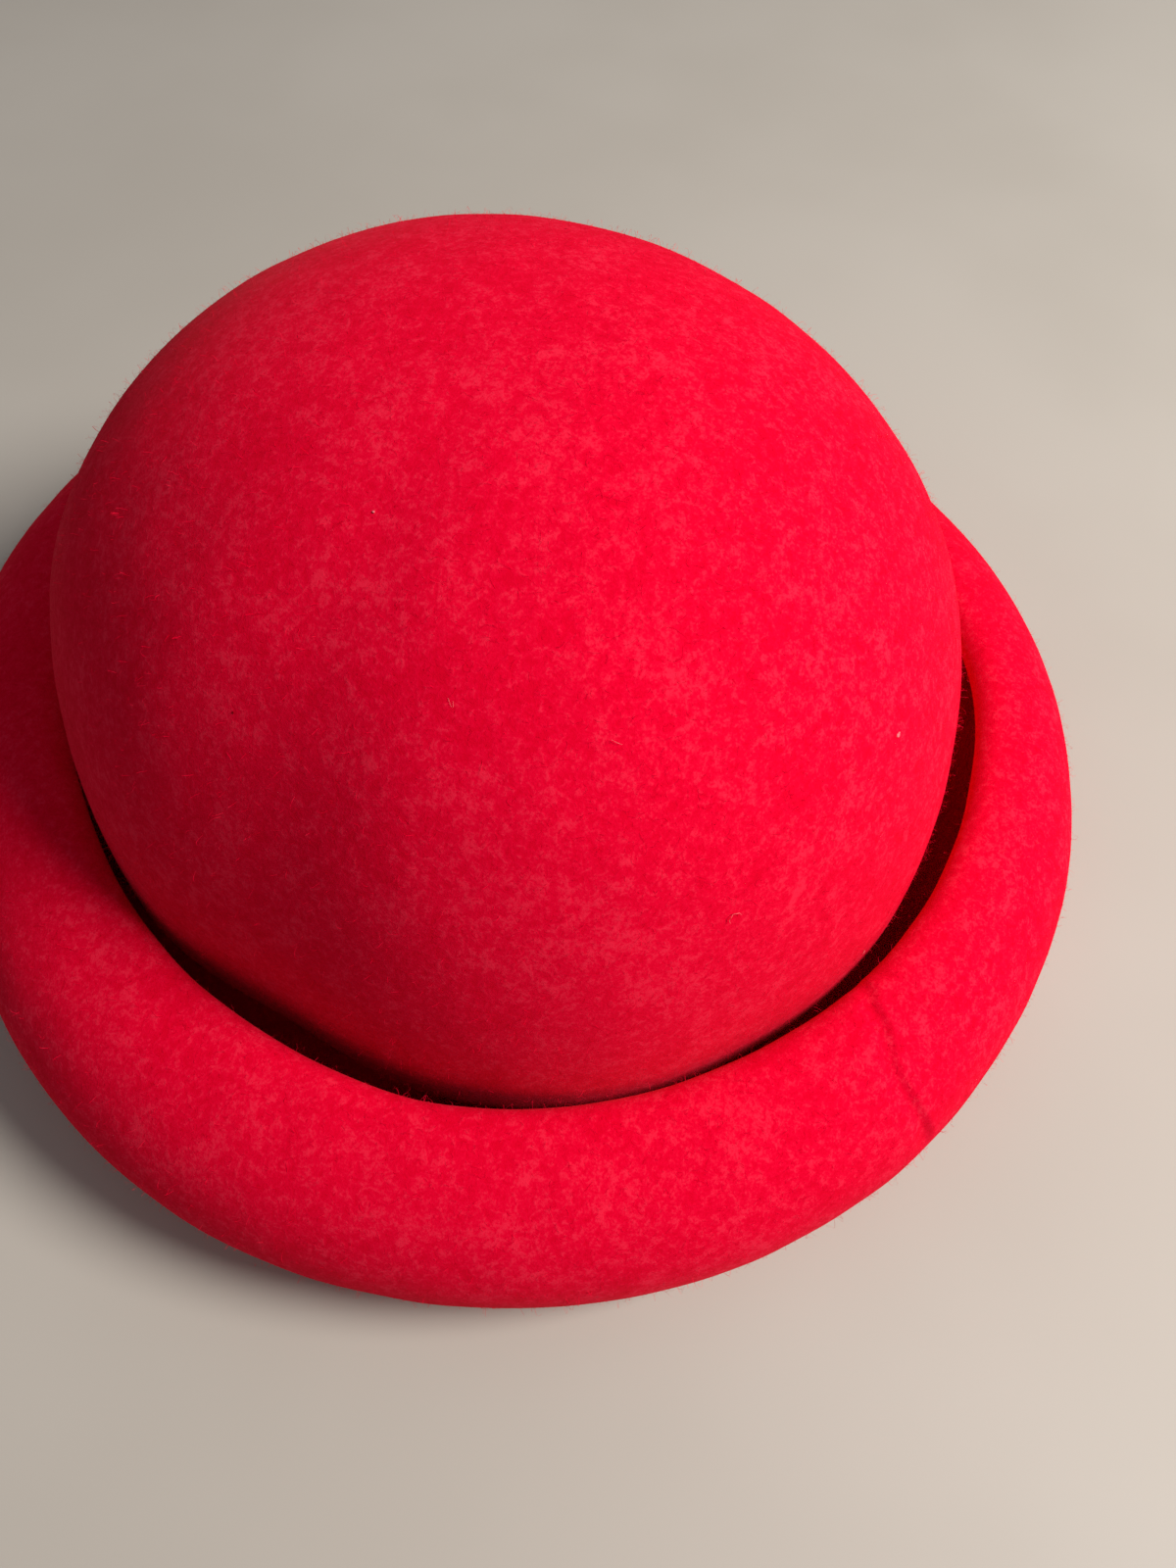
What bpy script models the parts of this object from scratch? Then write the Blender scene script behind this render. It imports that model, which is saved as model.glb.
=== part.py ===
"""Blocked wool felt hat with a domed crown and a brim rolled up all the way round.

The hat is one piece of felt. It stands on the underside of its brim, with the
long way of the head opening along Y. Units are metres, and +Z is up.
"""
import math
from collections import namedtuple

import bpy

# Crown
CROWN_HEIGHT = 0.1365
CROWN_LENGTH = 0.2099
CROWN_WIDTH = 0.1946
WIDEST_HEIGHT = 0.0345
HEAD_INSET = 0.0090
DOME_RISE_POWER = 2.22
DOME_SPAN_POWER = 2.29

# Brim
BRIM_REACH = 0.0380
NECK_BEND = 0.0060
FOLD_REACH = 0.0200
FOLD_HEIGHT = 0.0204
ROLL_HEIGHT = 0.0470
ROLL_GAP = 0.0050
EDGE_CURL_RADIUS = 0.0045
EDGE_CURL_ANGLE = math.radians(55)

# Felt
FELT = 0.0025

# Mesh steps
AZIMUTH_STEPS = 64
DOME_STEPS = 10
WALL_STEPS = 4
BEND_STEPS = 3
FLAT_STEPS = 3
FOLD_STEPS = 4
ROLL_STEPS = 6
CURL_STEPS = 2
EDGE_STEPS = 3

# How the hand-blocked felt departs from an even oval, seen from above.
# Rows are evenly spaced places round the hat. Crown is a share of the even oval's radius,
# reach a share of BRIM_REACH, gap of ROLL_GAP and rise of ROLL_HEIGHT.
Place = namedtuple("Place", "azimuth crown reach gap rise")
PLACES = (
    Place(0, 1.001, 1.04, 0.98, 1.00),
    Place(20, 1.006, 1.08, 0.90, 1.01),
    Place(40, 1.011, 1.11, 0.92, 1.02),
    Place(60, 1.004, 1.11, 1.00, 1.03),
    Place(80, 1.004, 1.09, 1.02, 1.04),
    Place(100, 1.008, 1.02, 0.90, 1.04),
    Place(120, 1.020, 0.95, 0.20, 1.03),
    Place(140, 1.013, 0.93, 0.12, 1.02),
    Place(160, 1.020, 0.98, 0.45, 1.00),
    Place(180, 0.996, 1.10, 1.38, 0.99),
    Place(200, 1.040, 0.98, 0.91, 0.98),
    Place(220, 1.051, 0.90, 0.39, 0.98),
    Place(240, 1.021, 0.91, 0.59, 0.98),
    Place(260, 0.998, 0.91, 0.82, 0.97),
    Place(280, 0.980, 0.95, 1.25, 0.97),
    Place(300, 0.997, 0.91, 1.48, 0.97),
    Place(320, 0.996, 0.94, 1.15, 0.98),
    Place(340, 0.998, 1.00, 1.06, 0.99),
)

FELT_RED = (0.78, 0.004, 0.022, 1.0)
FELT_ROUGHNESS = 0.95


def clear_scene():
    """Remove every object of the open scene."""
    for thing in list(bpy.data.objects):
        bpy.data.objects.remove(thing, do_unlink=True)


def share_at(column, azimuth):
    """Smooth value of one column of PLACES at an azimuth in degrees."""
    spacing = PLACES[1].azimuth - PLACES[0].azimuth
    start, past = divmod(azimuth, spacing)
    t = past / spacing
    places = (PLACES[(int(start) + k) % len(PLACES)] for k in (-1, 0, 1, 2))
    before, here, after, beyond = (getattr(place, column) for place in places)
    linear = after - before
    square = 2 * before - 5 * here + 4 * after - beyond
    cube = 3 * here - before - 3 * after + beyond
    return (2 * here + linear * t + square * t**2 + cube * t**3) / 2


def crown_radius(azimuth):
    """Outer radius of the crown at its widest line."""
    angle = math.radians(azimuth)
    oval = 1 / math.hypot(math.cos(angle) * 2 / CROWN_WIDTH, math.sin(angle) * 2 / CROWN_LENGTH)
    return oval * share_at("crown", azimuth)


def dome_line(radius, top):
    """Middle of the felt from the crown's top down to its widest line."""
    points = []
    for step in range(DOME_STEPS):
        angle = math.pi / 2 * (1 - step / DOME_STEPS)
        span = math.cos(angle) ** (2 / DOME_SPAN_POWER) if step else 0.0
        rise = math.sin(angle) ** (2 / DOME_RISE_POWER)
        points.append((radius * span, WIDEST_HEIGHT + (top - WIDEST_HEIGHT) * rise))
    return points


def wall_line(radius, low):
    """Middle of the felt from the widest line in to the head opening."""
    points = []
    for step in range(WALL_STEPS):
        t = step / WALL_STEPS
        points.append((radius - HEAD_INSET * t * t * (3 - 2 * t), WIDEST_HEIGHT + (low - WIDEST_HEIGHT) * t))
    return points


def arc(center, reach, rise, start, end, steps):
    """Points on an elliptical arc, from angle start up to but without angle end."""
    angles = (start + (end - start) * step / steps for step in range(steps))
    return [(center[0] + reach * math.cos(a), center[1] + rise * math.sin(a)) for a in angles]


def felt_line(azimuth):
    """Middle line of the felt at an azimuth, from the crown's top to the brim's edge.

    The points are pairs of radius and height.
    """
    half = FELT / 2
    quarter = math.pi / 2
    widest = crown_radius(azimuth)
    opening = widest - half - HEAD_INSET
    neck = opening + NECK_BEND
    low = half + NECK_BEND
    outline = widest + BRIM_REACH * share_at("reach", azimuth) - half
    fold = outline - FOLD_REACH
    roll_top = ROLL_HEIGHT * share_at("rise", azimuth) - half
    edge = widest + ROLL_GAP * share_at("gap", azimuth) + half
    crest = edge + EDGE_CURL_RADIUS * math.sin(EDGE_CURL_ANGLE)

    points = dome_line(widest - half, CROWN_HEIGHT - half)
    points += wall_line(widest - half, low)
    points += arc((neck, low), NECK_BEND, NECK_BEND, 2 * quarter, 3 * quarter, BEND_STEPS)
    points += [(neck + (fold - neck) * step / FLAT_STEPS, half) for step in range(FLAT_STEPS)]
    points += arc((fold, FOLD_HEIGHT), FOLD_REACH, FOLD_HEIGHT - half, -quarter, 0, FOLD_STEPS)
    points += arc((crest, FOLD_HEIGHT), outline - crest, roll_top - FOLD_HEIGHT, 0, quarter, ROLL_STEPS)
    curl_end = quarter + EDGE_CURL_ANGLE
    curl_step = EDGE_CURL_ANGLE / CURL_STEPS
    curl_center = (crest, roll_top - EDGE_CURL_RADIUS)
    points += arc(curl_center, EDGE_CURL_RADIUS, EDGE_CURL_RADIUS, quarter, curl_end + curl_step, CURL_STEPS + 1)
    return points


def normal_at(points, index):
    """Unit normal of the line at a point, on the side of the crown's outer face."""
    before = points[max(index - 1, 0)]
    after = points[min(index + 1, len(points) - 1)]
    along = (after[0] - before[0], after[1] - before[1])
    if index == 0:
        along = (1.0, 0.0)
    length = math.hypot(*along)
    return (-along[1] / length, along[0] / length)


def felt_section(azimuth):
    """Closed cross-section of the felt at an azimuth, from outer apex round to inner apex."""
    line = felt_line(azimuth)
    half = FELT / 2
    outer, inner = [], []
    for index, (radius, height) in enumerate(line):
        across, up = normal_at(line, index)
        outer.append((radius + across * half, height + up * half))
        inner.append((radius - across * half, height - up * half))
    radius, height = line[-1]
    across, up = normal_at(line, len(line) - 1)
    turn = math.atan2(up, across)
    rounded = []
    for step in range(1, EDGE_STEPS):
        angle = turn - math.pi * step / EDGE_STEPS
        rounded.append((radius + half * math.cos(angle), height + half * math.sin(angle)))
    return outer + rounded + inner[::-1]


def hat_mesh():
    """Closed mesh of the felt, turned round its azimuths and centred on its own box."""
    azimuths = [360 * step / AZIMUTH_STEPS for step in range(AZIMUTH_STEPS)]
    sections = [felt_section(azimuth) for azimuth in azimuths]
    rows = len(sections[0])
    points = []
    for row in range(1, rows - 1):
        for azimuth, section in zip(azimuths, sections):
            radius, height = section[row]
            angle = math.radians(azimuth)
            points.append((radius * math.cos(angle), radius * math.sin(angle), height))
    middle_x = (max(p[0] for p in points) + min(p[0] for p in points)) / 2
    middle_y = (max(p[1] for p in points) + min(p[1] for p in points)) / 2
    points = [(x - middle_x, y - middle_y, z) for x, y, z in points]
    outer_apex = len(points)
    inner_apex = outer_apex + 1
    points.append((-middle_x, -middle_y, sections[0][0][1]))
    points.append((-middle_x, -middle_y, sections[0][-1][1]))

    faces = []
    last = (rows - 3) * AZIMUTH_STEPS
    for step in range(AZIMUTH_STEPS):
        following = (step + 1) % AZIMUTH_STEPS
        faces.append((outer_apex, step, following))
        faces.append((inner_apex, last + following, last + step))
        for row in range(rows - 3):
            here = row * AZIMUTH_STEPS
            below = here + AZIMUTH_STEPS
            faces.append((here + step, below + step, below + following, here + following))
    mesh = bpy.data.meshes.new("felt_body")
    mesh.from_pydata(points, [], faces)
    mesh.shade_smooth()
    return mesh


def felt_material():
    """Matt red wool felt."""
    material = bpy.data.materials.new("red_felt")
    material.use_nodes = True
    surface = material.node_tree.nodes["Principled BSDF"]
    surface.inputs["Base Color"].default_value = FELT_RED
    surface.inputs["Roughness"].default_value = FELT_ROUGHNESS
    surface.inputs["Metallic"].default_value = 0.0
    return material


def build():
    """Make the hat's one felt body."""
    clear_scene()
    mesh = hat_mesh()
    mesh.materials.append(felt_material())
    body = bpy.data.objects.new("felt_body", mesh)
    bpy.context.scene.collection.objects.link(body)


build()
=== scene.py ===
"""Blocked red wool felt hat: its felt, nap and lint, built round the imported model.

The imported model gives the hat's place and box. The felt is modelled again here
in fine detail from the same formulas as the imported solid, then covered with
short wool fibres. Units are metres, and +Z is up.
"""

import logging
import math
from collections.abc import Mapping, Sequence
from dataclasses import dataclass, field
from enum import Enum

import bpy
import numpy as np
from mathutils import Matrix, Vector


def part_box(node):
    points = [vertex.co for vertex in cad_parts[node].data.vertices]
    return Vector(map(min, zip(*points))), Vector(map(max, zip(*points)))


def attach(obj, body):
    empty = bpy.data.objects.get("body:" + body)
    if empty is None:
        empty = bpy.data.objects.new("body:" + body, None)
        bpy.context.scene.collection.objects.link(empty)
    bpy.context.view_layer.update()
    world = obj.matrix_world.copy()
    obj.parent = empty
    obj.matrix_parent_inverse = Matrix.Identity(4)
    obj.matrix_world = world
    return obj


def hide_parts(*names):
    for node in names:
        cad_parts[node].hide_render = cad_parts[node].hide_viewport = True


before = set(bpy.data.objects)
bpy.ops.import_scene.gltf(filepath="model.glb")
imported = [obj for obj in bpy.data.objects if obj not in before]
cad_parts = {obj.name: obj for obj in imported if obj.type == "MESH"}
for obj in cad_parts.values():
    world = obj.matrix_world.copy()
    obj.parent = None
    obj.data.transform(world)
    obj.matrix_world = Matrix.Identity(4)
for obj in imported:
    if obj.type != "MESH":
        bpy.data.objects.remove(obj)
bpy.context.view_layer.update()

log = logging.getLogger("felt_hat")

BODY = "root"
NODE = "felt_body"
BAKE_MAP = "OFBake"
CELL_SIDES = (0.15, 0.85)
CELL_ENDS = (0.1, 0.9)
MILLIMETRE = 0.001

Array = np.ndarray
Colour = tuple[float, float, float]


class Stretch(Enum):
    """The stretches of the felt's section, in order from the crown's top to the brim's edge."""

    DOME = 0
    WALL = 1
    NECK = 2
    FLAT = 3
    FOLD = 4
    ROLL = 5
    CURL = 6

    def at(self, share: float = 0.0) -> float:
        """Station on the section that lies this share along the stretch."""
        return self.value + share


class Side(Enum):
    """The two faces of the felt, by how far round its cut edge they lie."""

    OUTER = 0.0
    INNER = math.pi


class Link:
    """A shader value that adds a Math node for each sum or product written with it."""

    def __init__(self, graph: "Graph", socket: bpy.types.NodeSocket) -> None:
        """Wrap a socket.

        Args:
            graph: The material's graph, which makes the nodes.
            socket: The output that holds the value.
        """
        self.graph = graph
        self.socket = socket

    def _math(self, operation: str, *values: "Link | float") -> "Link":
        """Value of one Math node that is fed these values."""
        node = self.graph.node("ShaderNodeMath", {"operation": operation}, dict(enumerate(values)))
        return Link(self.graph, node.outputs[0])

    def __add__(self, other: "Link | float") -> "Link":
        """Sum of the two."""
        return self._math("ADD", self, other)

    def __radd__(self, other: float) -> "Link":
        """Sum of the two."""
        return self._math("ADD", other, self)

    def __mul__(self, other: "Link | float") -> "Link":
        """Product of the two."""
        return self._math("MULTIPLY", self, other)

    def __rmul__(self, other: float) -> "Link":
        """Product of the two."""
        return self._math("MULTIPLY", other, self)

    def ramp(self, low: float, high: float) -> "Link":
        """Share from 0 to 1 of the way from low to high, eased at both ends.

        Args:
            low: Value that gives 0.
            high: Value that gives 1.

        Returns:
            The eased share.
        """
        settings = {"interpolation_type": "SMOOTHSTEP"}
        values = {"Value": self, "From Min": low, "From Max": high}
        return Link(self.graph, self.graph.node("ShaderNodeMapRange", settings, values).outputs[0])


class Graph:
    """The node tree of one material."""

    def __init__(self, name: str) -> None:
        """Start a material with an empty node tree.

        Args:
            name: The material's name.
        """
        self.material = bpy.data.materials.new(name)
        self.material.use_nodes = True
        self.tree = self.material.node_tree
        self.tree.nodes.clear()

    def node(self, kind: str, settings: Mapping[str, object], sockets: Mapping) -> bpy.types.Node:
        """Add a node.

        Args:
            kind: Blender's name of the node's type.
            settings: Properties of the node, set first.
            sockets: A value, a Link or an output for each input, by name or by number.

        Returns:
            The new node.
        """
        node = self.tree.nodes.new(kind)
        for name, value in settings.items():
            setattr(node, name, value)
        for name, value in sockets.items():
            socket = node.inputs[name]
            source = value.socket if isinstance(value, Link) else value
            if isinstance(source, bpy.types.NodeSocket):
                self.tree.links.new(source, socket)
            else:
                socket.default_value = (*value, 1.0) if socket.type == "RGBA" else value
        return node

    def place(self) -> bpy.types.NodeSocket:
        """Place on the object, in metres."""
        return self.node("ShaderNodeTexCoord", {}, {}).outputs["Object"]

    def noise(self, place: bpy.types.NodeSocket, size: float, detail: float = 2.0,
              rough: float = 0.5, swirl: float = 0.0) -> Link:
        """Cloudy noise.

        Args:
            place: Coordinates that it is read at.
            size: Width of one cloud, in metres.
            detail: Number of finer layers.
            rough: Strength of each finer layer.
            swirl: How far the clouds are drawn out into curls.

        Returns:
            Noise from 0 to 1, mostly near a half.
        """
        sockets = {
            "Vector": place, "Scale": 1 / size,
            "Detail": detail, "Roughness": rough, "Distortion": swirl,
        }
        return Link(self, self.node("ShaderNodeTexNoise", {}, sockets).outputs[0])

    def blend(self, share: Link, first: object, second: object) -> bpy.types.NodeSocket:
        """Colour that goes from first to second as share goes from 0 to 1."""
        node = self.node("ShaderNodeMix", {"data_type": "RGBA"}, {0: share, 6: first, 7: second})
        return node.outputs[2]

    def bump(self, height: Link, depth: float,
             under: bpy.types.NodeSocket | None = None) -> bpy.types.NodeSocket:
        """Normal of a surface raised by height times depth.

        Args:
            height: Height from 0 to 1.
            depth: Height in metres that 1 stands for.
            under: Normal that it is added to.

        Returns:
            The normal.
        """
        sockets = {"Height": height, "Distance": depth, "Strength": 1.0}
        if under is not None:
            sockets["Normal"] = under
        return self.node("ShaderNodeBump", {}, sockets).outputs[0]

    def finish(self, sockets: Mapping[str, object]) -> bpy.types.Material:
        """Close the graph with a Principled shader.

        Args:
            sockets: A value, a Link or an output for each input of the shader, by name.

        Returns:
            The finished material.
        """
        shader = self.node("ShaderNodeBsdfPrincipled", {}, sockets)
        self.node("ShaderNodeOutputMaterial", {}, {"Surface": shader.outputs[0]})
        return self.material


@dataclass(frozen=True)
class Mottle:
    """Clumps of paler wool that the felt and its loose fibres share.

    Cloud, cluster, clump and grain are widths, from the widest patches to the finest.
    Each weight is that patch's part in how worn the wool is, and each span the wear
    over which one colour gives way to the next. Palest is the most pale colour mixed in.
    """

    deep: Colour = (0.66, 0.0001, 0.018)
    middle: Colour = (0.73, 0.0006, 0.026)
    pale: Colour = (0.80, 0.0165, 0.051)
    cloud: float = 26 * MILLIMETRE
    cluster: float = 7 * MILLIMETRE
    clump: float = 1.9 * MILLIMETRE
    grain: float = 0.55 * MILLIMETRE
    clump_share: float = 0.6
    grain_share: float = 0.4
    cloud_weight: float = 0.10
    cluster_weight: float = 0.20
    height_weight: float = 0.70
    middle_span: tuple[float, float] = (0.40, 0.51)
    pale_span: tuple[float, float] = (0.49, 0.61)
    palest: float = 0.8

    def colour(self, graph: Graph, place: bpy.types.NodeSocket) -> tuple[bpy.types.NodeSocket, Link]:
        """Add the mottle to a material.

        Args:
            graph: The material's graph.
            place: Coordinates that the clumps are read at.

        Returns:
            The colour, and the height of the clumps from 0 to 1.
        """
        clouds = graph.noise(place, self.cloud)
        clusters = graph.noise(place, self.cluster, rough=0.6, swirl=0.4)
        clumps = graph.noise(place, self.clump, detail=3.0, rough=0.65, swirl=0.5)
        grains = graph.noise(place, self.grain, rough=0.6, swirl=0.4)
        height = clumps * self.clump_share + grains * self.grain_share
        worn = clouds * self.cloud_weight + clusters * self.cluster_weight + height * self.height_weight
        base = graph.blend(worn.ramp(*self.middle_span), self.deep, self.middle)
        return graph.blend(worn.ramp(*self.pale_span) * self.palest, base, self.pale), height


@dataclass(frozen=True)
class FeltFinish:
    """Brushed wool felt, dyed red, with paler fibre clumps and soft clouds of tone.

    Fibre is the width of the finest relief, and roughness spreads upwards by its range.
    """

    name: str = "red_wool_felt"
    mottle: Mottle = Mottle()
    fibre: float = 0.35 * MILLIMETRE
    clump_relief: float = 0.12 * MILLIMETRE
    fibre_relief: float = 0.05 * MILLIMETRE
    roughness: float = 0.86
    roughness_range: float = 0.14
    sheen: float = 0.10
    sheen_roughness: float = 0.42
    sheen_tint: Colour = (1.0, 0.13, 0.13)
    shine: float = 0.02

    def material(self) -> bpy.types.Material:
        """Make the material.

        Returns:
            The material.
        """
        graph = Graph(self.name)
        place = graph.place()
        colour, height = self.mottle.colour(graph, place)
        fibres = graph.noise(place, self.fibre, rough=0.7, swirl=1.2)
        normal = graph.bump(height, self.clump_relief)
        normal = graph.bump(fibres, self.fibre_relief, normal)
        return graph.finish({
            "Base Color": colour,
            "Roughness": self.roughness + fibres * self.roughness_range,
            "Normal": normal,
            "Specular IOR Level": self.shine,
            "Sheen Weight": self.sheen,
            "Sheen Roughness": self.sheen_roughness,
            "Sheen Tint": self.sheen_tint,
        })


@dataclass(frozen=True)
class FibreFinish:
    """Loose wool fibres, each patch of them a little paler or deeper."""

    name: str
    deep: Colour
    pale: Colour
    patch: float = 1.4 * MILLIMETRE
    patch_span: tuple[float, float] = (0.38, 0.62)
    roughness: float = 0.85
    shine: float = 0.03

    def material(self) -> bpy.types.Material:
        """Make the material.

        Returns:
            The material.
        """
        graph = Graph(self.name)
        patches = graph.noise(graph.place(), self.patch, detail=1.0)
        return graph.finish({
            "Base Color": graph.blend(patches.ramp(*self.patch_span), self.deep, self.pale),
            "Roughness": self.roughness,
            "Specular IOR Level": self.shine,
        })


@dataclass(frozen=True)
class NapFinish:
    """Loose fibres of the hat's own wool."""

    name: str = "red_nap"
    mottle: Mottle = Mottle()
    roughness: float = 0.9
    shine: float = 0.02

    def material(self) -> bpy.types.Material:
        """Make the material.

        Returns:
            The material.
        """
        graph = Graph(self.name)
        colour, _ = self.mottle.colour(graph, graph.place())
        return graph.finish({
            "Base Color": colour,
            "Roughness": self.roughness,
            "Specular IOR Level": self.shine,
        })


@dataclass(frozen=True)
class FloorFinish:
    """Plain pale floor, very slightly clouded."""

    name: str = "pale_floor"
    light: Colour = (0.47, 0.430, 0.380)
    dark: Colour = (0.44, 0.400, 0.350)
    cloud: float = 0.15
    cloud_span: tuple[float, float] = (0.3, 0.7)
    roughness: float = 0.6

    def material(self) -> bpy.types.Material:
        """Make the material.

        Returns:
            The material.
        """
        graph = Graph(self.name)
        clouds = graph.noise(graph.place(), self.cloud, detail=3.0)
        return graph.finish({
            "Base Color": graph.blend(clouds.ramp(*self.cloud_span), self.dark, self.light),
            "Roughness": self.roughness,
        })


@dataclass(frozen=True)
class Place:
    """How the hand-blocked felt departs from an even oval at one place round it.

    The azimuth is in degrees. Crown is a share of the even oval's radius, reach of
    the brim's reach, gap of the roll's gap and rise of the roll's height.
    """

    azimuth: float
    crown: float
    reach: float
    gap: float
    rise: float


PLACES = (
    Place(0, 1.001, 1.04, 0.98, 1.00),
    Place(20, 1.006, 1.08, 0.90, 1.01),
    Place(40, 1.011, 1.11, 0.92, 1.02),
    Place(60, 1.004, 1.11, 1.00, 1.03),
    Place(80, 1.004, 1.09, 1.02, 1.04),
    Place(100, 1.008, 1.02, 0.90, 1.04),
    Place(120, 1.020, 0.95, 0.20, 1.03),
    Place(140, 1.013, 0.93, 0.12, 1.02),
    Place(160, 1.020, 0.98, 0.45, 1.00),
    Place(180, 0.996, 1.10, 1.38, 0.99),
    Place(200, 1.040, 0.98, 0.91, 0.98),
    Place(220, 1.051, 0.90, 0.39, 0.98),
    Place(240, 1.021, 0.91, 0.59, 0.98),
    Place(260, 0.998, 0.91, 0.82, 0.97),
    Place(280, 0.980, 0.95, 1.25, 0.97),
    Place(300, 0.997, 0.91, 1.48, 0.97),
    Place(320, 0.996, 0.94, 1.15, 0.98),
    Place(340, 0.998, 1.00, 1.06, 0.99),
)


@dataclass(frozen=True)
class HatShape:
    """Sizes of the hat and the formulas of its felt."""

    crown_height: float
    crown_length: float = 0.2099
    crown_width: float = 0.1946
    widest_height: float = 0.0345
    head_inset: float = 0.0090
    rise_power: float = 2.22
    span_power: float = 2.29
    brim_reach: float = 0.0380
    neck_bend: float = 0.0060
    fold_reach: float = 0.0200
    fold_height: float = 0.0204
    roll_height: float = 0.0470
    roll_gap: float = 0.0050
    curl_radius: float = 0.0045
    curl_angle: float = math.radians(55)
    felt: float = 0.0025

    def share(self, column: str, azimuth: Array) -> Array:
        """Smooth value of one column of PLACES.

        Args:
            column: The column's name.
            azimuth: Azimuths in radians.

        Returns:
            The column's value at each azimuth.
        """
        values = np.array([getattr(place, column) for place in PLACES])
        spacing = math.radians(PLACES[1].azimuth - PLACES[0].azimuth)
        start = np.floor(azimuth / spacing).astype(int)
        t = azimuth / spacing - start
        before, here, after, beyond = (values[(start + k) % len(values)] for k in (-1, 0, 1, 2))
        square = 2 * before - 5 * here + 4 * after - beyond
        cube = 3 * here - before - 3 * after + beyond
        return (2 * here + (after - before) * t + square * t**2 + cube * t**3) / 2

    def dome_station(self, share: Array) -> Array:
        """Station on the dome where its radius is this share of the widest."""
        return 1 - np.arccos(share ** (self.span_power / 2)) * 2 / math.pi

    def middle(self, azimuth: Array, station: Array) -> tuple[Array, Array]:
        """Middle line of the felt.

        Args:
            azimuth: Azimuths in radians.
            station: Stations on the section, as Stretch numbers them.

        Returns:
            Radius from the crown's axis, and height.
        """
        half = self.felt / 2
        quarter = math.pi / 2
        oval = 1 / np.hypot(np.cos(azimuth) * 2 / self.crown_width, np.sin(azimuth) * 2 / self.crown_length)
        widest = oval * self.share("crown", azimuth)
        neck = widest - half - self.head_inset + self.neck_bend
        low = half + self.neck_bend
        outline = widest + self.brim_reach * self.share("reach", azimuth) - half
        fold = outline - self.fold_reach
        roll_top = self.roll_height * self.share("rise", azimuth) - half
        crest = widest + self.roll_gap * self.share("gap", azimuth) + half
        crest = crest + self.curl_radius * math.sin(self.curl_angle)

        stage = np.clip(np.floor(station), 0, Stretch.CURL.value).astype(int)
        t = station - stage
        dome = quarter * np.clip(1 - t, 0, 1)
        bend = 2 * quarter + quarter * t
        turn = -quarter + quarter * t
        climb = quarter * t
        curl = quarter + self.curl_angle * t
        dome_rise = self.crown_height - half - self.widest_height
        wall_drop = self.widest_height - low
        radius = np.choose(stage, [
            (widest - half) * np.cos(dome) ** (2 / self.span_power),
            widest - half - self.head_inset * t * t * (3 - 2 * t),
            neck + self.neck_bend * np.cos(bend),
            neck + (fold - neck) * t,
            fold + self.fold_reach * np.cos(turn),
            crest + (outline - crest) * np.cos(climb),
            crest + self.curl_radius * np.cos(curl),
        ])
        height = np.choose(stage, [
            self.widest_height + dome_rise * np.abs(np.sin(dome)) ** (2 / self.rise_power),
            self.widest_height - wall_drop * t,
            low + self.neck_bend * np.sin(bend),
            half + 0 * t,
            self.fold_height + (self.fold_height - half) * np.sin(turn),
            self.fold_height + (roll_top - self.fold_height) * np.sin(climb),
            roll_top - self.curl_radius + self.curl_radius * np.sin(curl),
        ])
        return radius, height

    def skin(self, azimuth: Array, station: Array, turn: Array) -> tuple[Array, Array]:
        """Points on the felt's faces.

        Args:
            azimuth: Azimuths in radians.
            station: Stations on the section.
            turn: Angle round the felt's thickness: 0 on the outer face, pi on the inner.

        Returns:
            The points, about the crown's axis, and their unit normals, a row for each.
        """
        step = 1e-4
        end = Stretch.CURL.at(1.0)
        back = np.clip(station - step, 0, end)
        on = np.clip(station + step, step, end)
        start_radius, start_height = self.middle(azimuth, back)
        end_radius, end_height = self.middle(azimuth, on)
        along_r, along_z = end_radius - start_radius, end_height - start_height
        length = np.hypot(along_r, along_z)
        along_r, along_z = along_r / length, along_z / length
        across_r = np.cos(turn) * -along_z + np.sin(turn) * along_r
        across_z = np.cos(turn) * along_r + np.sin(turn) * along_z
        radius, height = self.middle(azimuth, station)
        radius = radius + across_r * self.felt / 2
        height = height + across_z * self.felt / 2
        round_x, round_y = np.cos(azimuth), np.sin(azimuth)
        points = np.stack([radius * round_x, radius * round_y, height], -1)
        normals = np.stack([across_r * round_x, across_r * round_y, across_z], -1)
        return points, normals

    def axis(self) -> Array:
        """Find the crown's axis in the frame, whose origin is the middle of the hat's outline.

        Returns:
            The axis's place on the floor.
        """
        azimuth = np.radians(np.arange(360.0))
        station = np.full_like(azimuth, Stretch.ROLL.at())
        outline = self.skin(azimuth, station, np.full_like(azimuth, Side.INNER.value))[0]
        middle = (outline.max(0) + outline.min(0)) / 2
        return np.array([-middle[0], -middle[1], 0.0])


def hat_shape() -> HatShape:
    """The hat's shape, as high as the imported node."""
    return HatShape(crown_height=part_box(NODE)[1][2])


def rolling(points: Array, width: float, seed: int, waves: int = 36) -> Array:
    """Smooth random height at points, about as often up as down.

    Args:
        points: Points, a row for each.
        width: Width of one swell, in metres.
        seed: Seed of the swells' directions and phases.
        waves: Number of waves that are added up.

    Returns:
        Heights with a spread of 1.
    """
    random = np.random.default_rng(seed)
    ways = random.normal(size=(waves, 3))
    uneven = random.uniform(0.7, 1.3, waves)
    ways *= (uneven * math.pi / width / np.linalg.norm(ways, axis=1))[:, None]
    phases = random.uniform(0, 2 * math.pi, waves)
    return np.sin(points @ ways.T + phases).sum(1) * math.sqrt(2 / waves)


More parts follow.
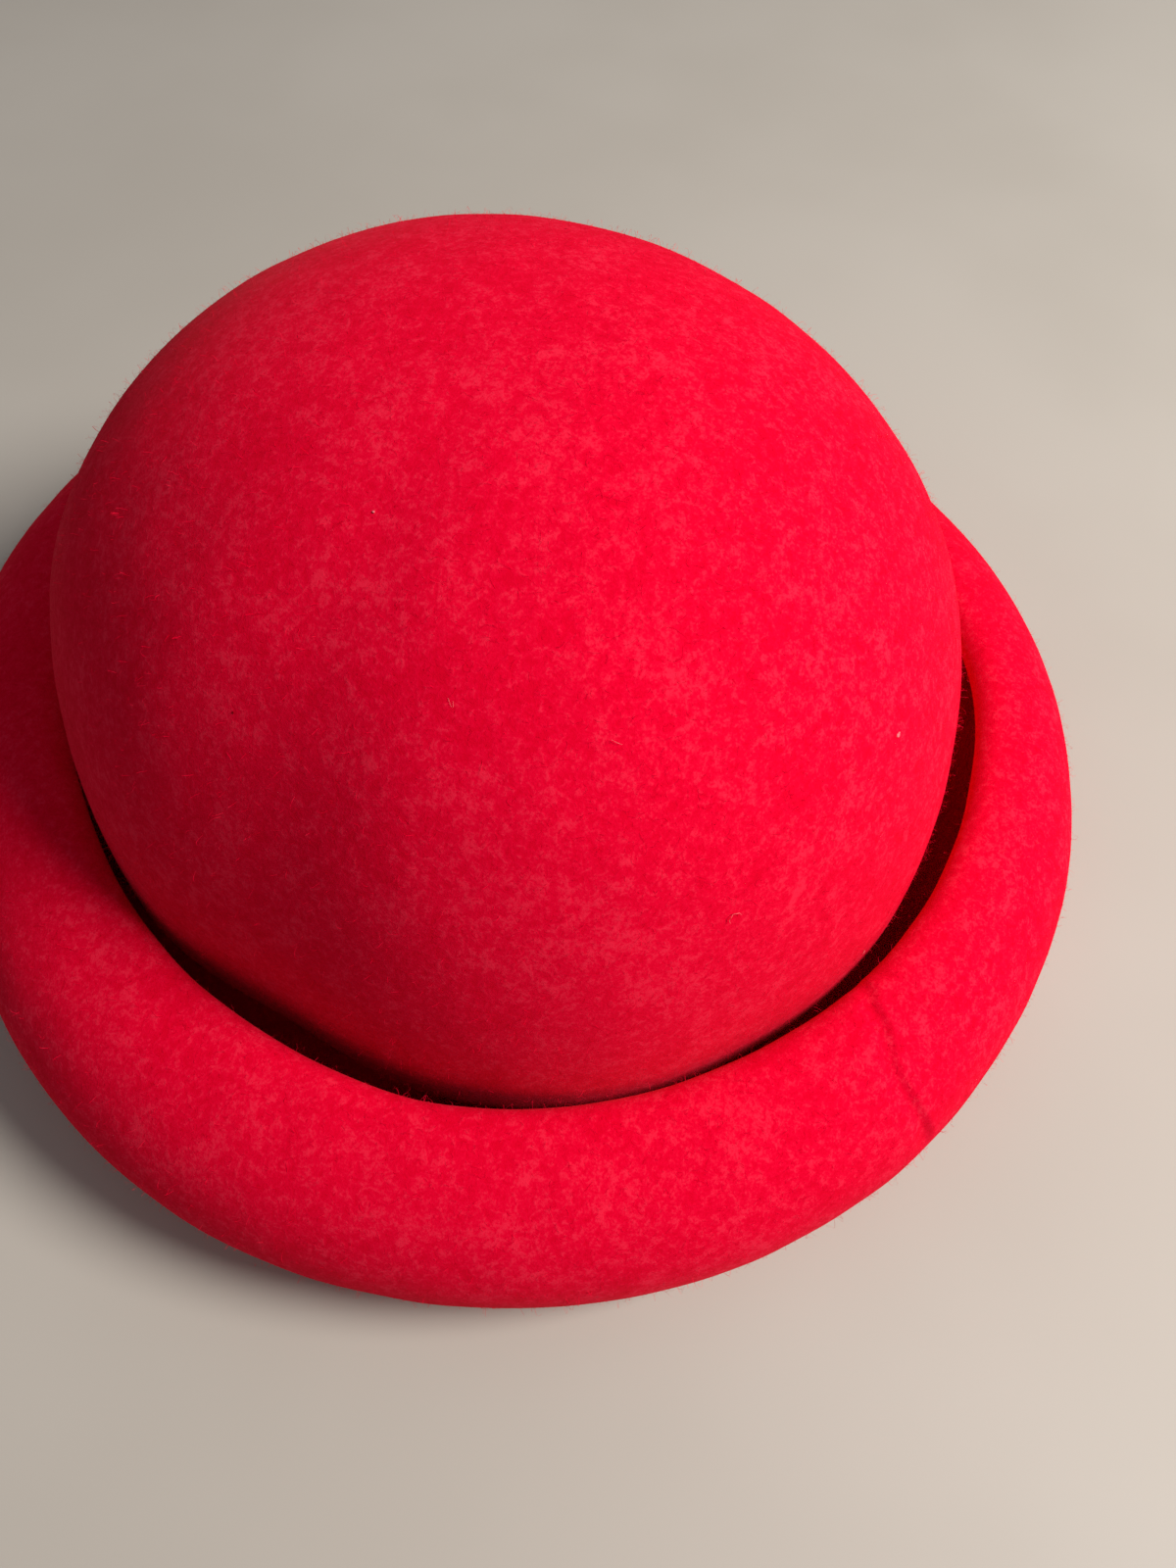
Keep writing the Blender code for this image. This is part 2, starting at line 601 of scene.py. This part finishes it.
def new_mesh(name: str, points: Array, faces: Array) -> bpy.types.Mesh:
    """Smooth-shaded mesh.

    Args:
        name: The mesh's name.
        points: Points, a row for each.
        faces: Numbers of each face's corners, a row for each face.

    Returns:
        The mesh.
    """
    mesh = bpy.data.meshes.new(name)
    mesh.vertices.add(len(points))
    mesh.vertices.foreach_set("co", np.ascontiguousarray(points, np.float32).ravel())
    mesh.loops.add(faces.size)
    mesh.loops.foreach_set("vertex_index", np.ascontiguousarray(faces, np.int32).ravel())
    mesh.polygons.add(len(faces))
    mesh.polygons.foreach_set("loop_start", np.arange(0, faces.size, faces.shape[1], dtype=np.int32))
    mesh.update(calc_edges=True)
    mesh.shade_smooth()
    return mesh


def new_piece(name: str, mesh: bpy.types.Mesh, material: bpy.types.Material) -> bpy.types.Object:
    """Put a piece of the hat in the scene, riding on the hat's body.

    Args:
        name: The piece's name.
        mesh: Its mesh.
        material: What it wears.

    Returns:
        The piece.
    """
    mesh.materials.append(material)
    piece = bpy.data.objects.new(name, mesh)
    bpy.context.scene.collection.objects.link(piece)
    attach(piece, BODY)
    return piece


@dataclass(frozen=True)
class CreaseMark:
    """Faint fold in the brim from its edge down over the roll: a ridge beside a hollow.

    Azimuths are in degrees, one for each station. The fold fades in over fade_in
    stations before its last one, and is gone at fade_end.
    """

    azimuths: tuple[float, ...] = (251.2, 249.4, 247.7, 247.3, 247.5, 248.2)
    stations: tuple[float, ...] = (
        Stretch.CURL.at(0.2), Stretch.ROLL.at(0.87), Stretch.ROLL.at(0.72),
        Stretch.ROLL.at(0.62), Stretch.ROLL.at(0.5), Stretch.ROLL.at(0.2),
    )
    ridge: float = 0.36 * MILLIMETRE
    ridge_width: float = 1.3 * MILLIMETRE
    hollow: float = 0.80 * MILLIMETRE
    hollow_width: float = 2.3 * MILLIMETRE
    fade_in: float = 0.15
    fade_end: float = Stretch.CURL.at(1.2)

    def relief(self, azimuth: Array, station: Array, radius: Array) -> Array:
        """Height that the mark adds to the felt.

        Args:
            azimuth: Azimuths in radians.
            station: Stations on the section.
            radius: Radii from the crown's axis.

        Returns:
            Heights in metres, below zero in the hollow.
        """
        line = np.interp(station, self.stations[::-1], self.azimuths[::-1])
        past = (np.degrees(azimuth) - line + 180) % 360 - 180
        past = np.radians(past) * radius
        fade = np.clip((station - self.stations[-1]) / self.fade_in + 1, 0, 1)
        fade = fade * np.clip(self.fade_end - station, 0, 1)
        ridge = self.ridge * np.exp(-(past / self.ridge_width) ** 2)
        hollow = self.hollow * np.exp(-((past + self.hollow_width) / self.hollow_width) ** 2)
        return fade * (ridge - hollow)


@dataclass
class FeltBody:
    """The hat's one piece of felt.

    Around is the number of points round the hat, cap_share the part of the crown's
    radius that a square grid covers, and edge_rows the rows round the cut edge. Each
    swell has its width, height and seed. The swells die out over the flat of the brim,
    where the hat rests.
    """

    shape: HatShape
    finish: FeltFinish = field(default_factory=FeltFinish)
    crease: CreaseMark = field(default_factory=CreaseMark)
    name: str = "wool_felt"
    around: int = 384
    cap_share: float = 0.60
    edge_rows: int = 5
    crease_density: float = 3.6
    crease_spread: float = math.radians(4)
    crown_end: float = Stretch.WALL.at(0.6)
    brim_start: float = Stretch.FOLD.at(0.15)
    rim_start: float = Stretch.ROLL.at(0.85)
    rest_span: float = 0.9
    rest_still: float = 0.55
    swells: tuple[tuple[float, float, int], ...] = (
        (70 * MILLIMETRE, 0.28 * MILLIMETRE, 11),
        (22 * MILLIMETRE, 0.10 * MILLIMETRE, 12),
        (8 * MILLIMETRE, 0.045 * MILLIMETRE, 13),
    )

    def azimuths(self) -> Array:
        """Space the mesh's points round the hat, closer together near the crease mark.

        Returns:
            Azimuths in radians.
        """
        even = np.linspace(0, 2 * math.pi, 4 * self.around + 1)
        mark = math.radians(sum(self.crease.azimuths) / len(self.crease.azimuths))
        density = 1 + self.crease_density * np.exp(-((even - mark) / self.crease_spread) ** 2)
        reached = np.concatenate([[0], np.cumsum((density[1:] + density[:-1]) / 2)])
        wanted = reached[-1] * np.arange(self.around) / self.around
        return np.interp(wanted, reached, even)

    def rows(self) -> tuple[Array, Array]:
        """Lay the rings of points from the outer cap round to the inner cap.

        Returns:
            Station and turn of each ring.
        """
        cap = float(self.shape.dome_station(np.array(self.cap_share)))

        def run(*legs: tuple[float, float, int]) -> list[float]:
            """Stations of these legs, each given by its start, end and steps."""
            return [start + (end - start) * k / steps for start, end, steps in legs for k in range(steps)]

        crown = (cap, Stretch.WALL.at(), 44), (Stretch.WALL.at(), Stretch.NECK.at(), 10)
        channel = (
            (Stretch.NECK.at(), Stretch.FLAT.at(), 4), (Stretch.FLAT.at(), Stretch.FOLD.at(), 5),
            (Stretch.FOLD.at(), Stretch.ROLL.at(), 8), (Stretch.ROLL.at(), Stretch.CURL.at(), 14),
            (Stretch.CURL.at(), Stretch.CURL.at(1.0), 4),
        )
        roll = (
            (Stretch.CURL.at(1.0), Stretch.CURL.at(), 4), (Stretch.CURL.at(), Stretch.ROLL.at(), 32),
            (Stretch.ROLL.at(), Stretch.FOLD.at(), 18), (Stretch.FOLD.at(), Stretch.FLAT.at(), 6),
        )
        inside = (
            (Stretch.FLAT.at(), Stretch.NECK.at(), 4), (Stretch.NECK.at(), Stretch.WALL.at(), 5),
            (Stretch.WALL.at(), cap, 20), (cap, cap, 1),
        )
        outer = run(*crown, *channel)
        inner = run(*roll, *inside)
        edge = [math.pi * k / self.edge_rows for k in range(self.edge_rows)]
        stations = outer + [Stretch.CURL.at(1.0)] * len(edge) + inner
        turns = [Side.OUTER.value] * len(outer) + edge + [Side.INNER.value] * len(inner)
        return np.array(stations), np.array(turns)

    def cap_grid(self) -> tuple[Array, Array, Array]:
        """Square grid of points drawn out into a disc.

        Returns:
            Radius of each grid point as a share of the disc's, its place round the
            disc in steps of the mesh's azimuths, and the grid points on the rim.
        """
        steps = self.around // 4
        u, v = np.meshgrid(np.linspace(-1, 1, steps + 1), np.linspace(-1, 1, steps + 1), indexing="ij")
        wide = np.abs(u) > np.abs(v)
        share = np.where(wide, np.abs(u), np.abs(v))
        safe = np.where(share == 0, 1, np.where(wide, u, v))
        angle = np.where(wide, v / safe, 2 - u / safe) * math.pi / 4
        angle = np.where(safe < 0, angle + math.pi, angle)
        place = angle / (2 * math.pi) * self.around % self.around
        return share, place, share > 1 - 1e-9

    def layout(self) -> tuple[Array, Array, Array, Array, dict[str, Array]]:
        """Lay out the closed mesh.

        Returns:
            Azimuth, station and turn of each point, the faces, and the numbers of the
            faces in each part of the felt that shows.
        """
        rings = self.azimuths()
        stations, turns = self.rows()
        rows, around = len(stations), self.around
        azimuth = np.tile(rings, rows)
        station = np.repeat(stations, around)
        turn = np.repeat(turns, around)
        ring = np.arange(rows * around).reshape(rows, around)
        here, below = ring[:-1], ring[1:]
        walls = np.stack([here, below, np.roll(below, -1, 1), np.roll(here, -1, 1)], -1).reshape(-1, 4)

        share, place, rim = self.cap_grid()
        table = np.append(rings, rings[0] + 2 * math.pi)
        cap_azimuth = np.interp(place[~rim], np.arange(around + 1), table)
        cap_station = self.shape.dome_station(share[~rim] * self.cap_share)
        caps = []
        for first_row, side in ((0, Side.OUTER), (rows - 1, Side.INNER)):
            grid = np.empty(share.shape, int)
            grid[rim] = ring[first_row][np.rint(place[rim]).astype(int) % around]
            grid[~rim] = len(azimuth) + np.arange((~rim).sum())
            azimuth = np.append(azimuth, cap_azimuth)
            station = np.append(station, cap_station)
            turn = np.append(turn, np.full(len(cap_azimuth), side.value))
            corners = (grid[:-1, :-1], grid[1:, :-1], grid[1:, 1:], grid[:-1, 1:])
            quads = np.stack(corners, -1).reshape(-1, 4)
            caps.append(quads if side is Side.OUTER else quads[:, ::-1])
        faces = np.concatenate([walls, *caps])
        row = np.arange(len(walls)) // around
        outside = turns[row] == Side.OUTER.value
        crown = outside & (stations[row] < self.crown_end)
        brim = ~outside & (stations[row] >= self.brim_start)
        brim |= outside & (stations[row] >= self.rim_start)
        cap_faces = len(walls) + np.arange(len(caps[0]))
        parts = {"crown": np.append(np.flatnonzero(crown), cap_faces), "brim": np.flatnonzero(brim)}
        return azimuth, station, turn, faces, parts

    def build(self) -> "FeltSkin":
        """Make the felt's mesh and its piece.

        Returns:
            The felt's points, normals and faces, which the nap grows from.
        """
        azimuth, station, turn, faces, parts = self.layout()
        points, normals = self.shape.skin(azimuth, station, turn)
        radius = np.hypot(points[:, 0], points[:, 1])
        middle = points - normals * self.shape.felt / 2
        across = normals * np.where(np.cos(turn) < 0, -1, 1)[:, None]
        from_rest = np.abs(station - Stretch.FLAT.at(0.5))
        free = np.clip(from_rest / self.rest_span - self.rest_still, 0, 1)
        relief = sum(height * rolling(middle, width, seed) for width, height, seed in self.swells)
        points = points + across * (relief * free)[:, None]
        pressed = self.crease.relief(azimuth, station, radius) * (np.cos(turn) < 0.5)
        points = points + normals * pressed[:, None] + self.shape.axis()
        points[:, 2] = np.maximum(points[:, 2], 0.0)
        mesh = new_mesh(self.name, points, faces)
        piece = new_piece(self.name, mesh, self.finish.material())
        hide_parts(NODE)
        shown = np.empty(len(points) * 3, np.float32)
        mesh.vertex_normals.foreach_get("vector", shown)
        log.info("%s: %d faces", self.name, len(faces))
        return FeltSkin(points, shown.reshape(-1, 3).astype(float), faces, parts)


@dataclass(frozen=True)
class FeltSkin:
    """Points, normals and faces of the felt, and the faces of each part that shows."""

    points: Array
    normals: Array
    faces: Array
    parts: dict[str, Array]

    def scatter(self, part: str, count: int, random: np.random.Generator) -> tuple[Array, Array]:
        """Random places spread evenly over a part of the felt.

        Args:
            part: Name of the part.
            count: Number of places.
            random: Source of chance.

        Returns:
            The places and the felt's unit normals there.
        """
        quads = self.faces[self.parts[part]]
        corners = np.concatenate([quads[:, [0, 1, 2]], quads[:, [0, 2, 3]]])
        a, b, c = (self.points[corners[:, k]] for k in range(3))
        area = np.linalg.norm(np.cross(b - a, c - a), axis=1)
        reached = np.cumsum(area)
        chosen = corners[np.searchsorted(reached, random.uniform(0, reached[-1], count))]
        u, v = random.random(count), random.random(count)
        over = u + v > 1
        u, v = np.where(over, 1 - u, u), np.where(over, 1 - v, v)
        weights = np.stack([1 - u - v, u, v], -1)[..., None]
        places = (self.points[chosen] * weights).sum(1)
        normals = (self.normals[chosen] * weights).sum(1)
        return places, normals / np.linalg.norm(normals, axis=1)[:, None]


@dataclass(frozen=True)
class FibreSort:
    """How one sort of wool fibre grows out of the felt.

    Bend and tilt are how far a fibre turns sideways and over, in radians, and curl how
    many bends more it turns towards the tip. Lengths and widths vary between their two
    shares. Tallest is the most that a fibre rises, in rises, and arch how much of an
    arch it makes.
    """

    length: float
    rise: float
    width: float
    bend: float
    tilt: float
    segments: int
    curl: float = 2.0
    tallest: float = 2.5
    tip: float = 0.35
    arch: tuple[float, float] = (0.45, 1.0)
    length_shares: tuple[float, float] = (0.5, 1.5)
    width_shares: tuple[float, float] = (0.7, 1.3)
    root_depth: float = 0.04 * MILLIMETRE
    floor_gap: float = 0.02 * MILLIMETRE


NAP = FibreSort(
    length=0.8 * MILLIMETRE, rise=0.07 * MILLIMETRE, width=0.060 * MILLIMETRE,
    bend=0.7, tilt=0.20, segments=2,
)
FUZZ = FibreSort(
    length=1.7 * MILLIMETRE, rise=0.65 * MILLIMETRE, width=0.045 * MILLIMETRE,
    bend=1.0, tilt=0.4, segments=4,
)


def ribbons(name: str, paths: Array, sides: Array) -> bpy.types.Mesh:
    """Flat-shaded mesh of fibres, with a bake map that gives each fibre a cell of its own.

    Args:
        name: The mesh's name.
        paths: Points along each fibre: fibres by points by 3.
        sides: Half of the fibre's width at each point, as a vector.

    Returns:
        The mesh.
    """
    count, length = paths.shape[:2]
    points = np.stack([paths - sides, paths + sides], 2).reshape(-1, 3)
    first = np.arange(count)[:, None] * length * 2 + np.arange(length - 1) * 2
    faces = np.stack([first, first + 1, first + 3, first + 2], -1).reshape(-1, 4)
    mesh = new_mesh(name, points, faces)
    mesh.shade_flat()
    columns = math.ceil(math.sqrt(count * 2))
    rows = math.ceil(count / columns)
    cell = np.arange(count)
    u = (cell % columns)[:, None, None] + np.array(CELL_SIDES)[None, None, :]
    v = (cell // columns)[:, None, None] + np.linspace(*CELL_ENDS, length)[None, :, None]
    u, v = np.broadcast_arrays(u / columns, v / rows)
    places = np.stack([u, v], -1).reshape(-1, 2)
    layer = mesh.uv_layers.new(name=BAKE_MAP)
    layer.data.foreach_set("uv", places[faces.ravel()].astype(np.float32).ravel())
    return mesh


@dataclass
class Nap:
    """Loose fibres that stand and lie on one part of the felt."""

    name: str
    part: str
    sort: FibreSort
    count: int
    seed: int
    finish: NapFinish = field(default_factory=NapFinish)

    def build(self, skin: FeltSkin) -> None:
        """Grow the fibres.

        Args:
            skin: The felt that they grow from.
        """
        random = np.random.default_rng(self.seed)
        roots, up = skin.scatter(self.part, self.count, random)
        ahead = np.cross(up, random.normal(size=up.shape))
        ahead /= np.linalg.norm(ahead, axis=1)[:, None]
        across = np.cross(up, ahead)
        sort = self.sort
        length = sort.length * random.uniform(*sort.length_shares, self.count)
        rise = np.minimum(random.exponential(sort.rise, self.count), sort.tallest * sort.rise)
        t = np.linspace(0, 1, sort.segments + 1)
        turn = random.normal(0, sort.bend, self.count)
        curl = random.uniform(-sort.curl, sort.curl, self.count)
        heading = turn[:, None] * t + curl[:, None] * t * t * sort.bend
        step = length[:, None] / sort.segments
        forward = np.cumsum(np.cos(heading) * step, 1) - step
        aside = np.cumsum(np.sin(heading) * step, 1)
        arch = random.uniform(*sort.arch, self.count)[:, None]
        height = rise[:, None] * np.sin(math.pi * arch * t) / np.sin(math.pi * np.minimum(arch, 0.5))
        height = height - sort.root_depth
        paths = roots[:, None] + ahead[:, None] * forward[..., None]
        paths = paths + across[:, None] * aside[..., None] + up[:, None] * height[..., None]
        paths[..., 2] = np.maximum(paths[..., 2], sort.floor_gap)
        tangent = np.gradient(paths, axis=1)
        roll = random.normal(0, sort.tilt, self.count)[:, None, None]
        facing = up[:, None] * np.cos(roll) + across[:, None] * np.sin(roll)
        sides = np.cross(tangent, facing)
        sides /= np.linalg.norm(sides, axis=-1)[..., None] + 1e-12
        taper = np.where(t == 1, sort.tip, 1.0)[None, :, None]
        widths = sort.width / 2 * random.uniform(*sort.width_shares, self.count)[:, None, None]
        mesh = ribbons(self.name, paths, sides * widths * taper)
        new_piece(self.name, mesh, self.finish.material())
        log.info("%s: %d fibres", self.name, self.count)


@dataclass(frozen=True)
class Thread:
    """A hair or loose thread that lies on the felt.

    Azimuth and heading are in degrees, the heading from the way round the crown
    towards its top. Curl is how far it turns along its length, in radians.
    """

    azimuth: float
    station: float
    heading: float
    length: float
    curl: float
    thickness: float


@dataclass(frozen=True)
class Fleck:
    """A crumb of lint or a pill of wool on the felt, at an azimuth in degrees."""

    azimuth: float
    station: float
    size: float


@dataclass
class Lint:
    """Hairs, crumbs and pills caught in the felt's nap.

    A thread lies its clearance, in thicknesses, over the felt, and waves above that.
    A fleck is uneven by a share of its size, flattened, and lifted a share of its size.
    """

    shape: HatShape
    name: str
    finish: FibreFinish
    threads: Sequence[Thread] = ()
    flecks: Sequence[Fleck] = ()
    sides: int = 6
    steps: int = 14
    clearance: float = 1.2
    wave: float = 0.25 * MILLIMETRE
    wave_turn: float = 9.0
    uneven: float = 0.3
    flattened: float = 0.55
    lifted: float = 0.15
    pole_angle: float = 0.08

    def seat(self, azimuth: float, station: float) -> tuple[Array, Array, Array, Array]:
        """Place on the crown's outer face, with its axes.

        Args:
            azimuth: Azimuth in degrees.
            station: Station on the section.

        Returns:
            The place, then unit vectors round the crown, up its side and out of it.
        """
        angles = np.radians([azimuth])
        stations = np.array([station])
        point, up = self.shape.skin(angles, stations, np.array([Side.OUTER.value]))
        round_way = np.array([-math.sin(angles[0]), math.cos(angles[0]), 0.0])
        return point[0] + self.shape.axis(), round_way, np.cross(up[0], round_way), up[0]

    def thread_rings(self, thread: Thread) -> Array:
        """Lay a thread on the felt.

        Args:
            thread: The thread.

        Returns:
            Rings of points along it: rings by points by 3.
        """
        place, across, climb, up = self.seat(thread.azimuth, thread.station)
        t = np.linspace(-0.5, 0.5, self.steps)
        heading = math.radians(thread.heading) + thread.curl * t
        stride = thread.length / (self.steps - 1)
        aside = np.cumsum(np.cos(heading)) * stride
        along = np.cumsum(np.sin(heading)) * stride
        aside, along = aside - aside.mean(), along - along.mean()
        wave = self.wave * np.sin(self.wave_turn * t + thread.curl) ** 2
        lie = thread.thickness * self.clearance + wave
        path = place + np.outer(aside, across) + np.outer(along, climb) + np.outer(lie, up)
        tangent = np.gradient(path, axis=0)
        tangent /= np.linalg.norm(tangent, axis=1)[:, None]
        first = np.cross(tangent, up)
        first /= np.linalg.norm(first, axis=1)[:, None]
        second = np.cross(tangent, first)
        angle = 2 * math.pi * np.arange(self.sides) / self.sides
        taper = np.sqrt(np.clip(1.02 - (2 * t) ** 8, 0.1, 1))
        thin = thread.thickness / 2 * taper
        ring = np.cos(angle)[None, :, None] * first[:, None]
        ring = ring + np.sin(angle)[None, :, None] * second[:, None]
        return path[:, None] + ring * thin[:, None, None]

    def fleck_rings(self, fleck: Fleck, seed: int) -> Array:
        """Lay an uneven crumb on the felt.

        Args:
            fleck: The crumb.
            seed: Seed of its unevenness.

        Returns:
            Rings of points round it: rings by points by 3.
        """
        place, across, climb, up = self.seat(fleck.azimuth, fleck.station)
        random = np.random.default_rng(seed)
        polar = np.linspace(self.pole_angle, math.pi - self.pole_angle, self.steps)
        angle = 2 * math.pi * np.arange(self.sides) / self.sides
        phase = random.uniform(0, 6)
        longer = random.uniform(0.9, 1.4)
        bulge = 1 + self.uneven * np.sin(angle[None] * 2 + 3 * polar[:, None] + phase)
        bulge = bulge * fleck.size / 2
        x = np.sin(polar)[:, None] * np.cos(angle) * bulge * longer
        y = np.sin(polar)[:, None] * np.sin(angle) * bulge
        z = np.cos(polar)[:, None] * bulge * self.flattened + fleck.size * self.lifted
        return place + x[..., None] * across + y[..., None] * climb + z[..., None] * up

    def build(self) -> None:
        """Make one piece of all the lint of this colour."""
        bodies = [self.thread_rings(thread) for thread in self.threads]
        bodies += [self.fleck_rings(fleck, seed) for seed, fleck in enumerate(self.flecks)]
        count = self.steps * self.sides
        number = np.arange(count).reshape(self.steps, self.sides)
        here, below = number[:-1], number[1:]
        walls = np.stack([here, np.roll(here, -1, 1), np.roll(below, -1, 1), below], -1).reshape(-1, 4)
        starts = [index * count for index in range(len(bodies))]
        faces = [face for start in starts for face in (walls + start).tolist()]
        for start in starts:
            faces.append((number[0] + start)[::-1].tolist())
            faces.append((number[-1] + start).tolist())
        mesh = bpy.data.meshes.new(self.name)
        mesh.from_pydata(np.concatenate(bodies).reshape(-1, 3).tolist(), [], faces)
        mesh.shade_smooth()
        new_piece(self.name, mesh, self.finish.material())
        log.info("%s: %d threads, %d flecks", self.name, len(self.threads), len(self.flecks))


@dataclass
class Floor:
    """Plain pale floor under the hat."""

    side: float = 40.0
    sunk: float = 0.05 * MILLIMETRE
    finish: FloorFinish = field(default_factory=FloorFinish)

    def build(self) -> None:
        """Make the floor and keep it out of the object."""
        reach = self.side / 2
        corners = [(-reach, -reach, 0), (reach, -reach, 0), (reach, reach, 0), (-reach, reach, 0)]
        mesh = bpy.data.meshes.new("floor")
        mesh.from_pydata(corners, [], [(0, 1, 2, 3)])
        mesh.materials.append(self.finish.material())
        floor = bpy.data.objects.new("floor", mesh)
        floor.location.z = -self.sunk
        bpy.context.scene.collection.objects.link(floor)
        log.info("floor: %.1f m a side", self.side)


@dataclass(frozen=True)
class Lamp:
    """A soft studio lamp that points at the hat, from a heading and elevation in degrees."""

    name: str
    heading: float
    elevation: float
    distance: float
    size: float
    power: float
    colour: Colour = (1.0, 1.0, 1.0)


@dataclass
class Studio:
    """Lamps and the even light of the room."""

    aim: Vector
    lamps: Sequence[Lamp] = (
        Lamp("key", heading=164, elevation=44, distance=1.3, size=0.5, power=23, colour=(1.0, 0.97, 0.93)),
        Lamp("fill", heading=120, elevation=40, distance=1.6, size=1.2, power=1.5),
    )
    room: Colour = (0.92, 0.95, 1.0)
    room_strength: float = 0.22

    def build(self) -> None:
        """Make the lamps and the room's light, and show colours as they are."""
        for lamp in self.lamps:
            light = bpy.data.lights.new(lamp.name, "AREA")
            light.shape = "DISK"
            light.size = lamp.size
            light.energy = lamp.power
            light.color = lamp.colour
            heading, rise = math.radians(lamp.heading), math.radians(lamp.elevation)
            away = Vector((
                math.sin(heading) * math.cos(rise), math.cos(heading) * math.cos(rise), math.sin(rise),
            ))
            holder = bpy.data.objects.new(lamp.name, light)
            holder.location = self.aim + away * lamp.distance
            holder.rotation_euler = away.to_track_quat("Z", "Y").to_euler()
            bpy.context.scene.collection.objects.link(holder)
        world = bpy.data.worlds.new("room")
        world.use_nodes = True
        background = world.node_tree.nodes["Background"]
        background.inputs["Color"].default_value = (*self.room, 1.0)
        background.inputs["Strength"].default_value = self.room_strength
        bpy.context.scene.world = world
        bpy.context.scene.view_settings.view_transform = "Standard"
        log.info("studio: %d lamps", len(self.lamps))


@dataclass
class HandCamera:
    """A phone camera held over the hat's front, with its angles in degrees."""

    place: tuple[float, float, float] = (-0.1471, -0.0957, 0.2688)
    heading: float = 64.07
    pitch: float = 57.98
    roll: float = -3.09
    lens: float = 27.0
    sensor: float = 36.0
    nearest: float = 0.01

    def build(self) -> None:
        """Make the camera and give it to the scene."""
        heading, pitch, roll = (math.radians(angle) for angle in (self.heading, self.pitch, self.roll))
        level = Vector((math.sin(heading), math.cos(heading), 0))
        look = level * math.cos(pitch) - Vector((0, 0, math.sin(pitch)))
        right = look.cross(Vector((0, 0, 1))).normalized()
        up = right.cross(look)
        side = right * math.cos(roll) - up * math.sin(roll)
        top = right * math.sin(roll) + up * math.cos(roll)
        lens = bpy.data.cameras.new("hand_camera")
        lens.lens = self.lens
        lens.sensor_width = self.sensor
        lens.clip_start = self.nearest
        camera = bpy.data.objects.new("hand_camera", lens)
        turned = Matrix((side, top, -look)).transposed().to_4x4()
        camera.matrix_world = Matrix.Translation(self.place) @ turned
        bpy.context.scene.collection.objects.link(camera)
        bpy.context.scene.camera = camera
        log.info("camera: %.0f mm lens", self.lens)


RED_WOOL = FibreFinish("loose_red_wool", deep=(0.62, 0.015, 0.035), pale=(0.90, 0.12, 0.15))
PALE_LINT = FibreFinish("pale_lint", deep=(0.75, 0.13, 0.16), pale=(0.95, 0.32, 0.34))
DARK_LINT = FibreFinish("dark_lint", deep=(0.25, 0.0003, 0.006), pale=(0.35, 0.0005, 0.010))

PALE_THREADS = (
    Thread(202.3, 0.409, -66, 1.5 * MILLIMETRE, 0.2, 0.05 * MILLIMETRE),
    Thread(202.8, 0.410, -85, 1.1 * MILLIMETRE, -0.3, 0.04 * MILLIMETRE),
    Thread(224.0, 0.449, -37, 1.9 * MILLIMETRE, 0.3, 0.07 * MILLIMETRE),
    Thread(253.8, 0.955, 80, 1.6 * MILLIMETRE, 0.4, 0.08 * MILLIMETRE),
)
PALE_FLECKS = (
    Fleck(178.9, 0.246, 0.45 * MILLIMETRE),
    Fleck(262.0, 0.630, 0.85 * MILLIMETRE),
)
RED_THREADS = (
    Thread(234.0, 0.696, 25, 3.9 * MILLIMETRE, -3.2, 0.13 * MILLIMETRE),
    Thread(172.3, 0.970, 85, 3.6 * MILLIMETRE, 0.3, 0.08 * MILLIMETRE),
)
DARK_FLECKS = (
    Fleck(171.9, 0.523, 0.45 * MILLIMETRE),
    Fleck(15.6, 0.262, 0.9 * MILLIMETRE),
    Fleck(3.2, 0.360, 0.9 * MILLIMETRE),
)


def main() -> None:
    """Build the hat, the floor, the lamps and the camera."""
    logging.basicConfig(level=logging.INFO, format="%(name)s: %(message)s")
    shape = hat_shape()
    HandCamera().build()
    skin = FeltBody(shape).build()
    for nap in (
        Nap("crown_nap", "crown", NAP, 48000, 1),
        Nap("brim_nap", "brim", NAP, 46000, 2),
        Nap("crown_fuzz", "crown", FUZZ, 15000, 3),
        Nap("brim_fuzz", "brim", FUZZ, 13000, 4),
    ):
        nap.build(skin)
    Lint(shape, "pale_lint", PALE_LINT, PALE_THREADS, PALE_FLECKS).build()
    Lint(shape, "loose_wool", RED_WOOL, RED_THREADS).build()
    Lint(shape, "dark_lint", DARK_LINT, (), DARK_FLECKS).build()
    Floor().build()
    Studio(aim=Vector((0, 0, shape.crown_height / 2))).build()


if __name__ == "__main__":
    main()
